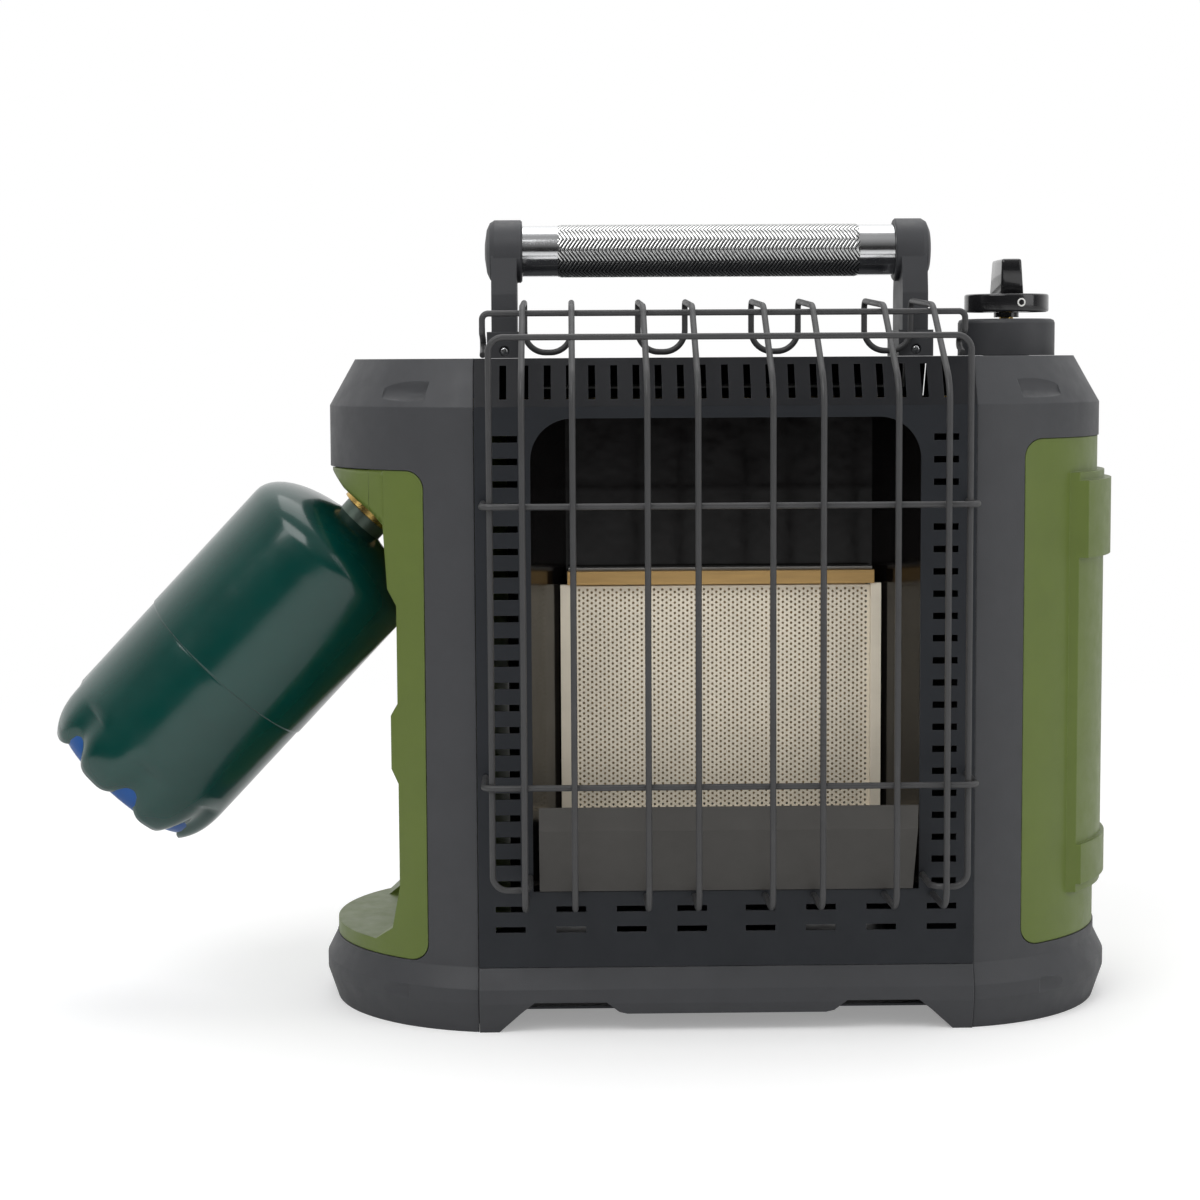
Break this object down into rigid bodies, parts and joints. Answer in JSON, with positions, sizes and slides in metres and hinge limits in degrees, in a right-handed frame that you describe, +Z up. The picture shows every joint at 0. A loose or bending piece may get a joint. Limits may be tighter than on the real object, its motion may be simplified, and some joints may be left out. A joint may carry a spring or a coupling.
{
  "type": "portable propane heater",
  "caption": "Portable gas heater with half-round plastic ends, reflector pan, wire guard, fold-down handle, top knob and a swing-out gas cylinder.",
  "frame": {"origin": "middle of the body on the plane that the feet stand on", "axes": "+X to the viewer's right, front faces -Y, +Z up"},
  "size_m": [0.5359, 0.2265, 0.3945],
  "materials": {
    "black_plastic": "gloss",
    "brass": "satin",
    "bronze": "satin",
    "ceramic": "matt",
    "charcoal": "textured",
    "chrome": "polished",
    "deflector": "satin",
    "enamel": "gloss",
    "foot_blue": "satin",
    "gasket": "matt",
    "green": "satin",
    "guard": "satin",
    "knurled_chrome": "knurled",
    "lead": "satin",
    "neck_steel": "satin",
    "panel_paint": "powder coat",
    "red_plastic": "gloss",
    "screen": "perforated",
    "steel": "satin",
    "tank_green": "gloss",
    "white_mark": "satin",
    "white_plastic": "satin"
  },
  "bodies": {
    "base": {"end_housing_left": "charcoal", "end_housing_right": "charcoal", "side_liner_left": "green", "side_panel_right": "green", "front_panel": "panel_paint", "rear_panel": "panel_paint", "top_panel": "panel_paint", "bottom_plate": "panel_paint", "base_skirt_front": "charcoal", "base_skirt_rear": "charcoal", "reflector_pan": "enamel", "burner_housing": "steel", "ceramic_tile": "ceramic", "tile_gasket": "gasket", "burner_screen": "screen", "screen_frame": "screen", "burner_top_strip": "bronze", "heat_deflector": "deflector", "pilot_burner": "steel", "thermocouple": "brass", "igniter_electrode": "ceramic", "pilot_bracket": "steel", "heat_shield": "steel", "guard_rim": "guard", "guard_top_rail": "guard", "guard_hairpins": "guard", "guard_cross_wires": "guard", "handle_brackets": "charcoal", "handle_pivot_pins": "chrome", "bracket_screws": "chrome", "control_housing": "charcoal", "valve_bracket": "steel", "stem_spring": "steel", "gas_valve_body": "brass", "piezo_igniter": "red_plastic", "igniter_lead": "lead", "gas_tube": "brass", "burner_gas_tube": "brass", "burner_venturi": "steel", "regulator_body": "steel", "swivel_bracket": "brass", "swivel_pin": "steel", "tilt_switch_housing": "white_plastic", "rear_panel_screws": "chrome", "base_screws": "chrome"},
    "handle": {"handle_arm_left": "charcoal", "handle_arm_right": "charcoal", "handle_grip": "chrome", "grip_sleeve": "knurled_chrome", "hub_screws": "chrome"},
    "push": {"push_washer": "steel"},
    "knob": {"control_knob": "black_plastic", "knob_mark": "white_mark", "knob_collar": "black_plastic", "valve_stem": "brass"},
    "swivel": {"regulator_swivel": "brass"},
    "tank": {"gas_cylinder": "tank_green", "cylinder_neck": "neck_steel", "cylinder_foot": "foot_blue"},
    "pendulum": {"tilt_switch_pendulum": "steel"}
  },
  "joints": [
    {"name": "handle_fold", "type": "hinge", "parent": "base", "child": "handle", "pos_m": [0, 0.01, 0.333], "axis": [-1, 0, 0], "range_deg": [0, 76]},
    {"name": "knob_push", "type": "slide", "parent": "base", "child": "push", "axis": [0, 0, -1], "range_m": [0, 0.003], "stiffness_N_per_m": 1500, "springref_m": -0.003, "deforming": ["stem_spring"]},
    {"name": "knob_turn", "type": "hinge", "parent": "push", "child": "knob", "pos_m": [0.149, 0, 0.345], "axis": [0, 0, 1], "range_deg": [0, 180]},
    {"name": "regulator_swing", "type": "hinge", "parent": "base", "child": "swivel", "pos_m": [-0.161, -0.008, 0.263], "axis": [0, -1, 0], "range_deg": [0, 43.3]},
    {"name": "cylinder_unscrew", "type": "slide", "parent": "swivel", "child": "tank", "axis": [-0.6858, 0, -0.7278], "range_m": [0, 0.008]},
    {"name": "tilt_swing", "type": "hinge", "parent": "base", "child": "pendulum", "pos_m": [0.15, 0.05, 0.0316], "axis": [0, 1, 0], "range_deg": [-20, 20]}
  ]
}
